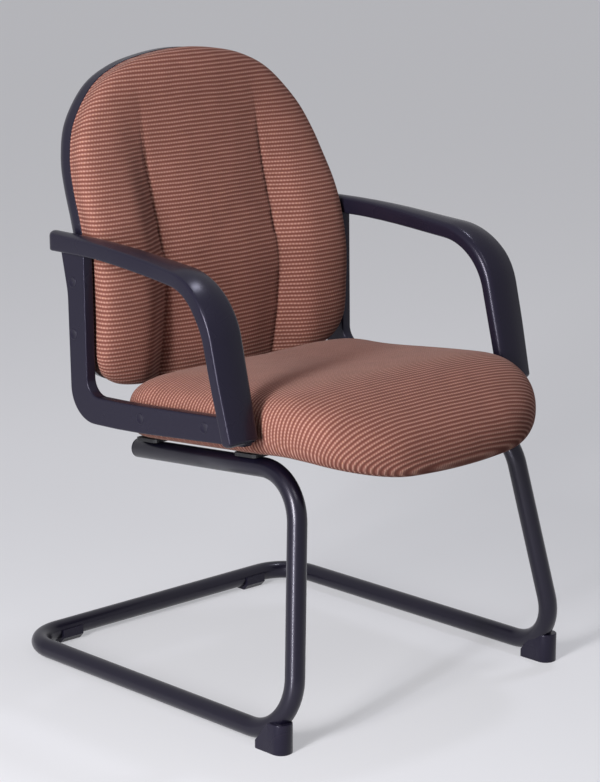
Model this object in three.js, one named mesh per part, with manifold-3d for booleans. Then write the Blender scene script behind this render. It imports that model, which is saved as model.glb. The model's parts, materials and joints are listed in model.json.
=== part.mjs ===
// Sled base visitor chair: one bent steel tube carries a padded seat, and two one-piece loop arms
// carry the padded back. Lengths are in millimetres. X runs across the chair, -Y is the front, +Z is up.
// "Ahead" and "behind" are measured along Y from the middle of the sled.
import * as THREE from "three";
import { mergeVertices } from "three/addons/utils/BufferGeometryUtils.js";
import Module from "manifold-3d";

const wasm = await Module();
wasm.setup();

// Driving dimensions of the whole chair
const gap = 0.3; // between pieces that touch
const overrun = 5; // how far a cutting tool runs past the face it opens

// Sled frame
const tubeDiameter = 28;
const tubeWall = 2;
const tubeSides = 12;
const railSpacing = 544; // between the centre lines of the two floor rails
const sledLength = 596; // between the centre lines of the rear bar and of the front corners
const bendRadius = 75; // of the tube's centre line
const rearCornerRadius = 62;
const bendSteps = 7;
const seatTilt = THREE.MathUtils.degToRad(5);
const seatPlaneHeight = 370; // top of the seat tubes above the floor, halfway along the sled
const seatTubeSpacing = 422;
const legRake = 57; // how far the upper bend's corner lies behind the lower one
const seatTubeFront = sledLength / 2 - legRake; // from mid length to the upper bend's corner
const seatTubeRear = 93; // from mid length to the open end, along the seat tube

// Feet, glides and tube plugs
const footWidth = 31.5;
const footLength = 53;
const footHeight = 43;
const footBase = 7; // plastic under the tube
const footHeel = 11; // height of the foot's rear wall
const footSetback = 10; // from the tube's front corner to the foot's front face
const footScrewSetback = 22; // from the foot's rear wall to the screw
const footScrewDiameter = 4;
const footScrewHead = 9;
const footScrewHeadHeight = 3;
const footScrewLength = 17;
const glideBase = 5;
const glideLength = 38;
const glideWall = 3;
const glideInset = 82; // from the rail's centre line to the middle of the glide
const plugFlange = 3;
const plugDepth = 16;

// Seat
const plateOverhang = 15; // past the centre lines of the seat tubes
const plateLength = seatTubeSpacing + 2 * plateOverhang;
const plateWidth = 45;
const plateThickness = 5;
const plateCornerRadius = 6;
const plateCornerSteps = 3;
const plateAhead = 150;
const plateBehind = 60;
const coverThickness = 1;
const coverInset = 8; // from the board's edge
const boardThickness = 12;
const boardHalfWidth = 218;
const boardAhead = 235;
const boardBehind = 98;
const boardCornerRadius = 80;
const seatHalfWidth = 240;
const seatMiddle = 95; // how far ahead its middle lies
const seatAhead = 359;
const seatBehind = 122;
const seatThickness = 80; // at its shoulders, board included
const seatCrown = 7; // how far the middle stands above the shoulders
const seatDroop = 50; // how far the front edge hangs below the board
const seatRoll = 52; // how far the top rolls down at the front edge
const seatRollLength = 152;
const seatHeel = 6; // how far the top rises again at its rear edge
const seatSegments = 44;
const railWidth = 24; // wooden side rails on the board
const railHeight = 42;
const railLength = 200;
const railMiddle = 48; // how far ahead the rail's middle lies

// Fasteners
const boltDiameter = 8;
const boltClearance = 0.5; // round the shank, in every hole
const boltHeadDiameter = 14;
const boltHeadHeight = 5;
const boltSpacing = 300; // of the seat bolts, across the chair
const teeFlangeDiameter = 22;
const teeFlangeThickness = 1.5;
const teeBarrelDiameter = 12;
const teeBarrelLength = 9;
const capDiameter = 17;
const capThickness = 3;
const boltSides = 12;

// Arms
const backBottom = 429; // the back's lower edge above the floor
const armInner = 249; // inner face of the flat loop, from the middle of the chair
const armThickness = 17;
const armBevel = 2;
const postFront = 141; // how far behind the rear post's front face lies
const postRear = 177.5;
const postLean = 5; // how much further back the post's top lies
const postCornerRadius = 50;
const postFlare = 13; // how far the post spreads under the armrest's tip
const postFlareHeight = 58;
const postFlareRadius = 90;
const loopCornerRadius = 25;
const barReach = 192; // how far ahead the bottom bar ends, inside the front post
const barBend = 50; // how far behind the bar levels out
const barBendRadius = 900;
const barUnderFront = 412.5; // underside of the bar above the floor, at its front end
const barUnderBend = 388.5;
const barUnderRear = 383.5;
const barOverFront = 449; // its upper side
const barOverBend = 429;
const barOverRear = 425;
const armrestTip = 226; // how far behind the armrest starts
const armrestRise = 223.5; // of the armrest above the back's lower edge
const armrestHeight = backBottom + armrestRise;
const armrestBow = 75; // how far behind the armrest starts to fall
const armrestBowRise = 1.5;
const armrestBowHeight = armrestHeight + armrestBowRise;
const armrestBowRadius = 1800;
const armrestCorner = 153; // how far ahead the front bend's corner lies
const armrestFall = 18; // from its tip to the front bend's corner
const armrestCornerHeight = armrestHeight - armrestFall;
const armrestBend = 108; // radius of the front bend
const armFootAhead = 206;
const armFootHeight = 420;
const armrestInnerRear = 247; // inner edge of the armrest, from the middle of the chair
const armrestInnerBend = 246;
const armrestOuterRear = 270;
const armrestOuterBend = 305;
const armrestFootRelief = 1; // how far the front post's inner edge draws out beside the seat
const armrestSteps = 25;
const armrestBendSteps = 9;
const loopSteps = 5; // in each of the loop's rounded corners
const armrestDepth = 21;
const armrestTipDepth = 25;
const frontPostDepth = 18;
const armrestCrown = 3;
const armrestEdge = 4;
const armrestTipRadius = 14;
const armFootRadius = 6;
const armSeatBoltAhead = [116, -20];
const armSeatBoltHeight = 45; // above the seat tubes
const armBackBoltBehind = 170;
const armBackBoltShares = [0.37, 0.71]; // of the way from the back's lower edge to the armrest
const sleeveDiameter = 15;

// Back
const backHeight = 471;
const backHalfWidth = 245;
const backLumbar = 160; // how far behind the rim lies at the lumbar curve
const backLean = 93; // how much further back the top of the rim lies
const backThickness = 43; // of the padding at its bolsters
const creaseOffset = 112; // of the two creases from the middle
const creaseWidth = 34;
const backSegments = 44;
const backBoardThickness = 10;
const backBoardInset = 14;
const shellWall = 3;
const shellLip = 1.5; // how far the shell's rim stands outside the padding's edge
const shellDome = 46;
const blockWidth = 15;
const blockFlange = 50;
const blockDepth = 22;
const blockFront = 2; // behind the rim line
const blockOverhang = 22; // of the block past its bolts
const blockBite = 12; // of the bolts in the blocks
const blockSteps = 6; // along the rim line
const shellScrewDiameter = 4;
const shellScrewHead = 8;
const shellScrewHeadHeight = 3;
const shellScrewLength = 34;
const shellScrewBite = 7; // into the back board
const shellBossDiameter = 14;
const shellScrewAcross = 130;
const shellScrewHeights = [540, 760];

const tubeRadius = tubeDiameter / 2;
const boltRadius = boltDiameter / 2;
const holeRadius = boltRadius + boltClearance;

// Turns a closed geometry into a solid that can be joined and cut.
function solidOf(geometry) {
  const bare = geometry.clone();
  bare.deleteAttribute("normal");
  bare.deleteAttribute("uv");
  const merged = mergeVertices(bare);
  const mesh = new wasm.Mesh({
    numProp: 3,
    vertProperties: merged.attributes.position.array,
    triVerts: new Uint32Array(merged.index.array),
  });
  return new wasm.Manifold(mesh);
}

function geometryOf(solid) {
  const { vertProperties, triVerts } = solid.getMesh();
  const geometry = new THREE.BufferGeometry();
  geometry.setAttribute("position", new THREE.BufferAttribute(new Float32Array(vertProperties), 3));
  geometry.setIndex(new THREE.BufferAttribute(new Uint32Array(triVerts), 1));
  return geometry;
}

function cut(geometry, ...tools) {
  return geometryOf(tools.reduce((left, tool) => left.subtract(solidOf(tool)), solidOf(geometry)));
}

function join(geometry, ...others) {
  return geometryOf(others.reduce((whole, other) => whole.add(solidOf(other)), solidOf(geometry)));
}

// Skins a row of rings of points. A ring of one point is a pole, and an open end ring is capped.
// With closed set, the last ring joins the first, as round a hollow tube's wall.
function skin(rings, closed = false) {
  const points = rings.flat();
  const starts = [];
  rings.reduce((start, ring) => {
    starts.push(start);
    return start + ring.length;
  }, 0);
  const faces = [];
  const bridge = (a, b) => {
    const count = Math.max(rings[a].length, rings[b].length);
    const at = (ring, i) => starts[ring] + (rings[ring].length > 1 ? i % count : 0);
    for (let i = 0; i < count; i++) {
      if (rings[a].length > 1) faces.push(at(a, i), at(a, i + 1), at(b, i));
      if (rings[b].length > 1) faces.push(at(a, i + 1), at(b, i + 1), at(b, i));
    }
  };
  for (let k = 1; k < rings.length; k++) bridge(k - 1, k);
  if (closed) bridge(rings.length - 1, 0);
  const cap = (ring, turned) => {
    if (rings[ring].length === 1) return;
    const middle = new THREE.Vector3();
    rings[ring].forEach((point) => middle.addScaledVector(point, 1 / rings[ring].length));
    const centre = points.push(middle) - 1;
    rings[ring].forEach((point, i) => {
      const here = starts[ring] + i;
      const next = starts[ring] + ((i + 1) % rings[ring].length);
      faces.push(...(turned ? [centre, next, here] : [centre, here, next]));
    });
  };
  if (!closed) {
    cap(0, true);
    cap(rings.length - 1, false);
  }
  let volume = 0;
  const cross = new THREE.Vector3();
  for (let i = 0; i < faces.length; i += 3) {
    cross.crossVectors(points[faces[i + 1]], points[faces[i + 2]]);
    volume += points[faces[i]].dot(cross);
  }
  if (volume < 0) faces.reverse();
  const geometry = new THREE.BufferGeometry();
  geometry.setFromPoints(points);
  geometry.setIndex(faces);
  return geometry;
}

// Rounds each inner corner of a polyline, or every corner of a closed one, with an arc.
function roundCorners(corners, radii, steps, closed = false) {
  const last = corners.length - 1;
  return corners.flatMap((corner, i) => {
    const radius = radii[i];
    if (!radius || (!closed && (i === 0 || i === last))) return [corner.clone()];
    const before = corners[(i + last) % corners.length].clone().sub(corner).normalize();
    const after = corners[(i + 1) % corners.length].clone().sub(corner).normalize();
    const turn = Math.PI - before.angleTo(after);
    const start = corner.clone().addScaledVector(before, radius * Math.tan(turn / 2));
    const inward = before.clone().add(after).normalize();
    const centre = corner.clone().addScaledVector(inward, radius / Math.cos(turn / 2));
    const spoke = start.clone().sub(centre);
    return Array.from({ length: steps + 1 }, (_, k) => {
      const angle = (turn * k) / steps;
      const point = centre.clone().addScaledVector(spoke, Math.cos(angle));
      return point.addScaledVector(before, -radius * Math.sin(angle));
    });
  });
}

// Rings of a round section carried along a path without twist.
function tubeRings(path, radius, sides) {
  const normal = new THREE.Vector3(0, 0, 1);
  return path.map((point, i) => {
    const along = path[Math.min(i + 1, path.length - 1)].clone().sub(path[Math.max(i - 1, 0)]).normalize();
    normal.addScaledVector(along, -normal.dot(along)).normalize();
    const across = new THREE.Vector3().crossVectors(along, normal);
    return Array.from({ length: sides }, (_, k) => {
      const angle = (2 * Math.PI * k) / sides;
      const spoke = normal.clone().multiplyScalar(Math.cos(angle)).addScaledVector(across, Math.sin(angle));
      return point.clone().addScaledVector(spoke, radius);
    });
  });
}

// An upright prism: the outline lies in X and Y, and the solid runs from one height to another.
function prism(outline, bottom, top) {
  const shape = new THREE.Shape(outline.map((point) => new THREE.Vector2(point.x, point.y)));
  const geometry = new THREE.ExtrudeGeometry(shape, { depth: top - bottom, bevelEnabled: false });
  return geometry.translate(0, 0, bottom);
}

// A prism along X: the outline's x and y become Y and Z.
function sidePrism(outline, from, to) {
  return prism(outline, from, to).applyMatrix4(sideways);
}

// A rod along Y in its own frame, turned to the wanted axis and centred between two points.
function rod(radius, from, to, sides = boltSides) {
  const along = to.clone().sub(from);
  const geometry = new THREE.CylinderGeometry(radius, radius, along.length(), sides);
  const turn = new THREE.Quaternion().setFromUnitVectors(new THREE.Vector3(0, 1, 0), along.clone().normalize());
  geometry.applyQuaternion(turn);
  return geometry.translate(...from.clone().lerp(to, 0.5).toArray());
}

const vector = (x, y, z = 0) => new THREE.Vector3(x, y, z);
const sideways = new THREE.Matrix4().makeBasis(vector(0, 1), vector(0, 0, 1), vector(1, 0));
const smooth = (share) => THREE.MathUtils.smoothstep(share, 0, 1);

// A smooth curve through evenly spaced values, read at a share of its length.
function along(values, share) {
  const place = THREE.MathUtils.clamp(share, 0, 1) * (values.length - 1);
  const i = Math.min(Math.floor(place), values.length - 2);
  const value = (k) => values[THREE.MathUtils.clamp(k, 0, values.length - 1)];
  const t = place - i;
  const slopeIn = (value(i + 1) - value(i - 1)) / 2;
  const slopeOut = (value(i + 2) - value(i)) / 2;
  const cubic = 2 * (value(i) - value(i + 1)) + slopeIn + slopeOut;
  const square = 3 * (value(i + 1) - value(i)) - 2 * slopeIn - slopeOut;
  return ((cubic * t + square) * t + slopeIn) * t + value(i);
}

// Finishes
const blackTube = { color: 0x2b2a31, roughness: 0.35, metalness: 0.4 };
const blackPlastic = { color: 0x2d2c33, roughness: 0.5, metalness: 0 };
const fabric = { color: 0x9c6252, roughness: 0.95, metalness: 0 };
const plywood = { color: 0xb08a5a, roughness: 0.8, metalness: 0 };
const zincSteel = { color: 0xa8a9ad, roughness: 0.4, metalness: 0.9 };
const blackSteel = { color: 0x202023, roughness: 0.45, metalness: 0.6 };
const blackFelt = { color: 0x1d1c1f, roughness: 1, metalness: 0 };

function piece(parent, name, geometry, finish) {
  const flat = geometry.index ? geometry.toNonIndexed() : geometry;
  flat.computeVertexNormals();
  const mesh = new THREE.Mesh(flat, new THREE.MeshStandardMaterial(finish));
  mesh.name = name;
  parent.add(mesh);
  return mesh;
}

const sides = [
  ["right", -1],
  ["left", 1],
];

const body = new THREE.Group();

// The seat's own frame is tilted about the top of the seat tubes: y runs back along the seat.
const seat = new THREE.Group();
seat.position.set(0, 0, seatPlaneHeight);
seat.rotation.x = -seatTilt;
seat.updateMatrix();
body.add(seat);
const fromSeat = (x, y, z) => vector(x, y, z).applyMatrix4(seat.matrix);

// Sled frame: one tube from the right seat tube's open end, round the floor, to the left one's
const railHalf = railSpacing / 2;
const sledHalf = sledLength / 2;
const seatTubeHalf = seatTubeSpacing / 2;
const frontCentre = footBase + tubeRadius;
const rearCentre = glideBase + tubeRadius;

function halfRoute(side) {
  return [
    fromSeat(side * seatTubeHalf, seatTubeRear, -tubeRadius),
    fromSeat(side * seatTubeHalf, -seatTubeFront, -tubeRadius),
    vector(side * railHalf, -sledHalf, frontCentre),
    vector(side * railHalf, sledHalf, rearCentre),
  ];
}

const route = [...halfRoute(-1), ...halfRoute(1).reverse()];
const halfRadii = [0, bendRadius, bendRadius, rearCornerRadius];
const tubePath = roundCorners(route, [...halfRadii, ...halfRadii.toReversed()], bendSteps);

function sledFrame() {
  const outer = tubeRings(tubePath, tubeRadius, tubeSides);
  const inner = tubeRings(tubePath, tubeRadius - tubeWall, tubeSides);
  const holes = sides.map(([, side]) => footScrewTool(side, footScrewDiameter / 2 + boltClearance, 0));
  return cut(skin([...outer, ...inner.reverse()], true), ...holes);
}

// Front feet: moulded blocks that cradle the tube's lower bends
const footFront = -sledHalf + footSetback;
const footRear = footFront + footLength;
const footScrewAt = footRear - footScrewSetback;

function footScrewTool(side, radius, bottom) {
  const at = (z) => vector(side * railHalf, footScrewAt, z);
  return rod(radius, at(bottom), at(footScrewLength + footScrewHeadHeight + gap));
}

function foot(side) {
  const noseRadius = footWidth / 2 - gap;
  const plan = roundCorners(
    [
      vector(-footWidth / 2, footFront),
      vector(footWidth / 2, footFront),
      vector(footWidth / 2, footRear),
      vector(-footWidth / 2, footRear),
    ],
    [noseRadius, noseRadius, armBevel, armBevel],
    bendSteps,
    true,
  );
  const block = solidOf(prism(plan, 0, footHeight).translate(side * railHalf, 0, 0));
  const profile = [
    vector(footFront - overrun, 0),
    vector(footRear + overrun, 0),
    vector(footRear + overrun, footHeel),
    vector(footRear, footHeel),
    vector(footRear - footLength / 2, footHeight),
    vector(footFront - overrun, footHeight),
  ];
  const span = footWidth + overrun;
  const wedge = solidOf(sidePrism(profile, -span, span).translate(side * railHalf, 0, 0));
  const cradle = skin(tubeRings(tubePath, tubeRadius + gap, tubeSides));
  const hole = footScrewTool(side, footScrewDiameter / 2 + boltClearance, -overrun);
  const sink = rod(
    footScrewHead / 2 + boltClearance,
    vector(side * railHalf, footScrewAt, -overrun),
    vector(side * railHalf, footScrewAt, footScrewHeadHeight + gap),
  );
  return cut(geometryOf(block.intersect(wedge)), cradle, hole, sink);
}

// A screw or bolt as one turned solid: head first, then the shank, along +Y in its own frame.
function screw(headRadius, headHeight, shankRadius, length) {
  const crown = headHeight / 4;
  const profile = [
    [0, -headHeight],
    [headRadius - crown, -headHeight],
    [headRadius, -headHeight + crown],
    [headRadius, 0],
    [shankRadius, 0],
    [shankRadius, length - crown],
    [shankRadius - crown, length],
    [0, length],
  ];
  return new THREE.LatheGeometry(profile.map(([x, y]) => new THREE.Vector2(x, y)), boltSides);
}

// Rear glides: saddles clipped under the rear bar, flat where they meet the floor
function glide() {
  const outerRadius = tubeRadius + gap + glideWall;
  const innerRadius = tubeRadius + gap;
  const rise = glideWall; // the clip's lips close just above the tube's widest line
  const shape = new THREE.Shape();
  shape.moveTo(-outerRadius, rise);
  shape.lineTo(-outerRadius, -rearCentre + outerRadius / 2);
  shape.lineTo(-outerRadius / 2, -rearCentre);
  shape.lineTo(outerRadius / 2, -rearCentre);
  shape.lineTo(outerRadius, -rearCentre + outerRadius / 2);
  shape.lineTo(outerRadius, rise);
  const start = Math.asin(rise / innerRadius);
  shape.absarc(0, 0, innerRadius, start, Math.PI - start, true);
  const settings = { depth: glideLength, bevelEnabled: false, curveSegments: tubeSides };
  return new THREE.ExtrudeGeometry(shape, settings).translate(0, 0, -glideLength / 2).applyMatrix4(sideways);
}

// Tube plugs: domed caps with a spigot inside the seat tubes' open ends
function plug() {
  const spigot = (tubeRadius - tubeWall) * Math.cos(Math.PI / tubeSides) - gap;
  const profile = [
    [0, -plugDepth],
    [spigot, -plugDepth],
    [spigot, gap],
    [tubeRadius, gap],
    [tubeRadius, plugFlange / 2],
    [tubeRadius - plugFlange / 2, plugFlange],
    [0, plugFlange],
  ];
  return new THREE.LatheGeometry(profile.map(([x, y]) => new THREE.Vector2(x, y)), 2 * tubeSides);
}

piece(body, "sled_frame", sledFrame(), blackTube);
for (const [name, side] of sides) {
  piece(body, `front_foot_${name}`, foot(side), blackPlastic);
  const footScrew = piece(
    body,
    `foot_screw_${name}`,
    screw(footScrewHead / 2, footScrewHeadHeight, footScrewDiameter / 2, footScrewLength),
    zincSteel,
  );
  footScrew.position.set(side * railHalf, footScrewAt, footScrewHeadHeight);
  footScrew.rotation.x = Math.PI / 2;
  const rearGlide = piece(body, `rear_glide_${name}`, glide(), blackPlastic);
  rearGlide.position.set(side * (railHalf - glideInset), sledHalf, rearCentre);
  const tubePlug = piece(seat, `tube_plug_${name}`, plug(), blackPlastic);
  tubePlug.position.set(side * seatTubeHalf, seatTubeRear, -tubeRadius);
}

// Seat: two steel plates welded across the seat tubes, a felt cover, a plywood board and the padding
const plateBottom = gap;
const coverBottom = plateBottom + plateThickness + gap;
const boardBottom = coverBottom + coverThickness + gap;
const boardTop = boardBottom + boardThickness;
const boltHalf = boltSpacing / 2;
const plateRows = [
  ["front", -plateAhead],
  ["rear", plateBehind],
];
const seatBoltPlaces = plateRows.flatMap(([row, y]) => sides.map(([name, side]) => [row, name, side * boltHalf, y]));

const upright = (radius, from, to) => (x, y) => rod(radius, vector(x, y, from), vector(x, y, to));
const seatHoles = (radius, from, to) => seatBoltPlaces.map(([, , x, y]) => upright(radius, from, to)(x, y));

function plate() {
  const corners = [
    vector(-plateLength / 2, -plateWidth / 2),
    vector(plateLength / 2, -plateWidth / 2),
    vector(plateLength / 2, plateWidth / 2),
    vector(-plateLength / 2, plateWidth / 2),
  ];
  const outline = roundCorners(corners, Array(4).fill(plateCornerRadius), plateCornerSteps, true);
  const holes = [-boltHalf, boltHalf].map((x) => upright(holeRadius, -overrun, plateThickness + overrun)(x, 0));
  return cut(prism(outline, 0, plateThickness), ...holes);
}

function boardOutline(inset) {
  const half = boardHalfWidth - inset;
  const corners = [
    vector(-half, -boardAhead + inset),
    vector(half, -boardAhead + inset),
    vector(half, boardBehind - inset),
    vector(-half, boardBehind - inset),
  ];
  return roundCorners(corners, Array(4).fill(boardCornerRadius - inset), bendSteps, true);
}

function seatBoard() {
  const holes = seatHoles(teeBarrelDiameter / 2 + gap, boardBottom - overrun, boardTop + overrun);
  return cut(prism(boardOutline(0), boardBottom, boardTop), ...holes);
}

function dustCover() {
  const holes = seatHoles(boltRadius + 2 * boltClearance, coverBottom - overrun, boardTop);
  return cut(prism(boardOutline(coverInset), coverBottom, coverBottom + coverThickness), ...holes);
}

// Tee nut: a flange on the board's top and a barrel down its hole, bored right through
function teeNut() {
  const bore = boltRadius + gap;
  const profile = [
    [bore, -teeBarrelLength],
    [teeBarrelDiameter / 2, -teeBarrelLength],
    [teeBarrelDiameter / 2, gap],
    [teeFlangeDiameter / 2, gap],
    [teeFlangeDiameter / 2, gap + teeFlangeThickness],
    [bore, gap + teeFlangeThickness],
    [bore, -teeBarrelLength],
  ];
  return new THREE.LatheGeometry(profile.map(([x, y]) => new THREE.Vector2(x, y)), boltSides);
}

function hexBolt(length) {
  const head = new THREE.CylinderGeometry(boltHeadDiameter / 2, boltHeadDiameter / 2, boltHeadHeight, 6);
  head.translate(0, -boltHeadHeight / 2, 0);
  const shank = rod(boltRadius, vector(0, -boltHeadHeight / 2), vector(0, length));
  return join(head, shank);
}

// Wooden side rails stand on the board inside the padding and take the arm bolts.
const railOuter = boardHalfWidth;
const railBottom = boardTop + gap;
const armSeatPlaces = armSeatBoltAhead.map((ahead, i) => [["front", "rear"][i], -ahead]);

function sideRail(side, growth) {
  const inner = railOuter - railWidth - growth;
  const outer = railOuter + growth;
  const reach = railLength / 2 + growth;
  const outline = [
    vector(side * inner, -railMiddle - reach),
    vector(side * outer, -railMiddle - reach),
    vector(side * outer, -railMiddle + reach),
    vector(side * inner, -railMiddle + reach),
  ];
  return prism(outline, railBottom - growth, railBottom + railHeight + growth);
}

const acrossSeat = (side, y, radius, from, to) =>
  rod(radius, vector(side * from, y, armSeatBoltHeight), vector(side * to, y, armSeatBoltHeight));

const armSeatBoltTip = railOuter - railWidth / 2;

function drilledRail(side) {
  const holes = armSeatPlaces.map(([, y]) => acrossSeat(side, y, boltRadius + gap, armSeatBoltTip - gap, armInner));
  return cut(sideRail(side, 0), ...holes);
}

// Seat padding: rings from the underside, round the bulging side, to the crown. Each ring has its
// share of the plan and its share of the height, and the front of every ring rolls down.
const seatRingShares = [
  [0.55, 0],
  [0.9, 0],
  [0.95, 0.02],
  [0.985, 0.13],
  [1, 0.34],
  [0.996, 0.6],
  [0.972, 0.79],
  [0.925, 0.91],
  [0.84, 0.97],
  [0.65, 0.99],
  [0.34, 1],
];

// Half the seat's plan as shares of its half width and of its reach, ahead and then behind
const seatAheadShares = [
  [0, 1],
  [0.25, 0.995],
  [0.49, 0.978],
  [0.69, 0.928],
  [0.85, 0.848],
  [0.94, 0.75],
  [0.982, 0.64],
  [0.997, 0.51],
  [1, 0.3],
  [1, 0.1],
];
const seatBehindShares = [
  [1, 0.3],
  [0.998, 0.52],
  [0.975, 0.69],
  [0.91, 0.83],
  [0.74, 0.94],
  [0.4, 0.985],
  [0, 1],
];
const seatHalf = [
  ...seatAheadShares.map(([x, y]) => vector(x * seatHalfWidth, -y * seatAhead)),
  ...seatBehindShares.map(([x, y]) => vector(x * seatHalfWidth, y * seatBehind)),
];
const seatOther = seatHalf.slice(1, -1).reverse().map((point) => vector(-point.x, point.y));
const seatCurve = new THREE.CatmullRomCurve3([...seatHalf, ...seatOther], true, "centripetal");
const seatOutline = seatCurve.getSpacedPoints(seatSegments).slice(0, seatSegments);

function seatPoint(edge, plan, height) {
  const x = plan * edge.x;
  const y = -seatMiddle + plan * (edge.y + seatMiddle);
  const roll = Math.max(0, (-y - seatAhead + seatRollLength) / seatRollLength) ** 2;
  const crown = seatCrown * (1 - plan ** 2);
  const rear = Math.max(0, (y + seatMiddle) / (seatBehind + seatMiddle)) ** 2;
  const top = boardBottom + seatThickness - seatRoll * roll + seatHeel * rear;
  const bottom = boardBottom - seatDroop * roll;
  return vector(x, y, bottom + (top - bottom) * height + crown * height);
}

function seatPadding() {
  const ring = ([plan, height]) => seatOutline.map((edge) => seatPoint(edge, plan, height));
  const pole = (height) => [seatPoint(seatOutline[0], 0, height)];
  const rings = [pole(0), ...seatRingShares.map(ring), pole(1)];
  const pockets = [prism(boardOutline(-gap), boardBottom - overrun, boardTop + gap)];
  pockets.push(...seatHoles(teeFlangeDiameter / 2 + gap, boardTop, boardTop + 2 * gap + teeFlangeThickness));
  for (const [, side] of sides) {
    pockets.push(sideRail(side, gap));
    armSeatPlaces.forEach(([, y]) => {
      pockets.push(acrossSeat(side, y, sleeveDiameter / 2 + gap, railOuter - overrun, armInner + overrun));
    });
  }
  return cut(skin(rings), ...pockets);
}

piece(seat, "seat_cushion", seatPadding(), fabric);
piece(seat, "seat_board", seatBoard(), plywood);
piece(seat, "seat_dust_cover", dustCover(), blackFelt);
plateRows.forEach(([row, y]) => {
  piece(seat, `cross_plate_${row}`, plate(), blackSteel).position.set(0, y, plateBottom);
});
seatBoltPlaces.forEach(([row, name, x, y]) => {
  const boltTop = boardTop + gap + teeFlangeThickness;
  const bolt = piece(seat, `seat_bolt_${row}_${name}`, hexBolt(boltTop), zincSteel);
  bolt.position.set(x, y, plateBottom - gap);
  bolt.rotation.x = Math.PI / 2;
  const nut = piece(seat, `tee_nut_${row}_${name}`, teeNut(), zincSteel);
  nut.position.set(x, y, boardTop);
  nut.rotation.x = Math.PI / 2;
});

// Arms: a flat loop of rear post and bottom bar, with a broad armrest swept over it and down in front
const armOuter = armInner + armThickness;
const loopTop = armrestHeight - armrestTipDepth / 2;
const flareTop = armrestHeight - armrestTipDepth + armBevel;

function loopOutline() {
  const corners = [
    vector(-barReach, barUnderFront),
    vector(barBend, barUnderBend),
    vector(postRear, barUnderRear),
    vector(postRear + postLean, flareTop - postFlareHeight),
    vector(postRear + postLean + postFlare, flareTop),
    vector(postRear + postLean, loopTop),
    vector(postFront + postLean, loopTop),
    vector(postFront, barOverRear),
    vector(barBend, barOverBend),
    vector(-barReach, barOverFront),
  ];
  const radii = [0, barBendRadius, postCornerRadius, postFlareRadius, 0, 0, 0, loopCornerRadius, barBendRadius, 0];
  return roundCorners(corners, radii, loopSteps, true);
}

function loop(side) {
  const shape = new THREE.Shape(loopOutline().map((point) => new THREE.Vector2(point.x, point.y)));
  const settings = {
    depth: armThickness - 2 * armBevel,
    bevelThickness: armBevel,
    bevelSize: armBevel,
    bevelOffset: -armBevel,
    bevelSegments: 2,
  };
  const geometry = new THREE.ExtrudeGeometry(shape, settings).translate(0, 0, armBevel).applyMatrix4(sideways);
  return geometry.translate(side < 0 ? -armOuter : armInner, 0, 0);
}

// The armrest's section: a crowned top, a crisp outer edge and a flat underside. Each corner is
// given by shares of the width and depth, then by steps of the edge radius.
function armrestSection(width, depth) {
  const e = armrestEdge;
  const m = e * (1 - Math.SQRT1_2);
  return [
    [0, -e],
    [m, -m],
    [e, 0],
    [width / 4, (armrestCrown * 3) / 4],
    [width / 2, armrestCrown],
    [(width * 3) / 4, (armrestCrown * 3) / 4],
    [width - e, 0],
    [width - m, -m],
    [width, -e],
    [width, e - depth],
    [width - m, m - depth],
    [width - e, -depth],
    [e, -depth],
    [m, m - depth],
    [0, e - depth],
  ];
}

const roundEnd = (distance, radius) => {
  const inside = THREE.MathUtils.clamp(1 - distance / radius, 0, 1);
  return Math.sqrt(1 - inside ** 2);
};

function armrest(side) {
  const corners = [
    vector(0, armrestTip, armrestHeight),
    vector(0, armrestBow, armrestBowHeight),
    vector(0, -armrestCorner, armrestCornerHeight),
    vector(0, -armFootAhead, armFootHeight),
  ];
  const bend = roundCorners(corners, [0, armrestBowRadius, armrestBend, 0], armrestBendSteps);
  const curve = new THREE.CurvePath();
  bend.slice(1).forEach((point, i) => curve.add(new THREE.LineCurve3(bend[i], point)));
  const length = curve.getLength();
  const tip = tipRingShares.map((share) => share * armrestTipRadius);
  const end = endRingShares.map((share) => length - share * armFootRadius);
  const between = (end[0] - tip.at(-1)) / (armrestSteps + 1);
  const middle = Array.from({ length: armrestSteps }, (_, k) => tip.at(-1) + between * (k + 1));
  const rings = [...tip, ...middle, ...end].map((distance) => {
    const share = distance / length;
    const point = curve.getPointAt(share);
    const step = armrestEdge / length;
    const before = curve.getPointAt(Math.max(0, share - step));
    const after = curve.getPointAt(Math.min(1, share + step));
    const forward = after.sub(before).normalize();
    const up = vector(0, -forward.z, forward.y).multiplyScalar(-1);
    const toBend = smooth(share / bendShare);
    const outer = THREE.MathUtils.lerp(armrestOuterRear, armrestOuterBend, toBend);
    const relief = armrestFootRelief * smooth(share);
    const inner = THREE.MathUtils.lerp(armrestInnerRear, armrestInnerBend, toBend) + relief;
    const slim = THREE.MathUtils.lerp(armrestTipDepth, armrestDepth, smooth(share / tipShare));
    const depth = THREE.MathUtils.lerp(slim, frontPostDepth, smooth(share / bendShare - 1 / 2));
    const shrink = Math.min(roundEnd(distance, armrestTipRadius), roundEnd(length - distance, armFootRadius));
    return armrestSection(outer - inner, depth).map(([u, v]) => {
      const across = (inner + outer) / 2 + ((outer - inner) / 2 - u) * shrink;
      const lift = -depth / 2 + (v + depth / 2) * shrink;
      return vector(side * across, 0).add(point).addScaledVector(up, lift);
    });
  });
  return skin(rings);
}

const tipRingShares = [0.02, 0.15, 0.4, 0.7, 1]; // of the tip's radius
const endRingShares = [1, 0.5, 0.1]; // of the foot's radius
const bendShare = 0.68; // where along the armrest it has reached its full width
const tipShare = 0.3; // where its thicker rear end has thinned out

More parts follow.
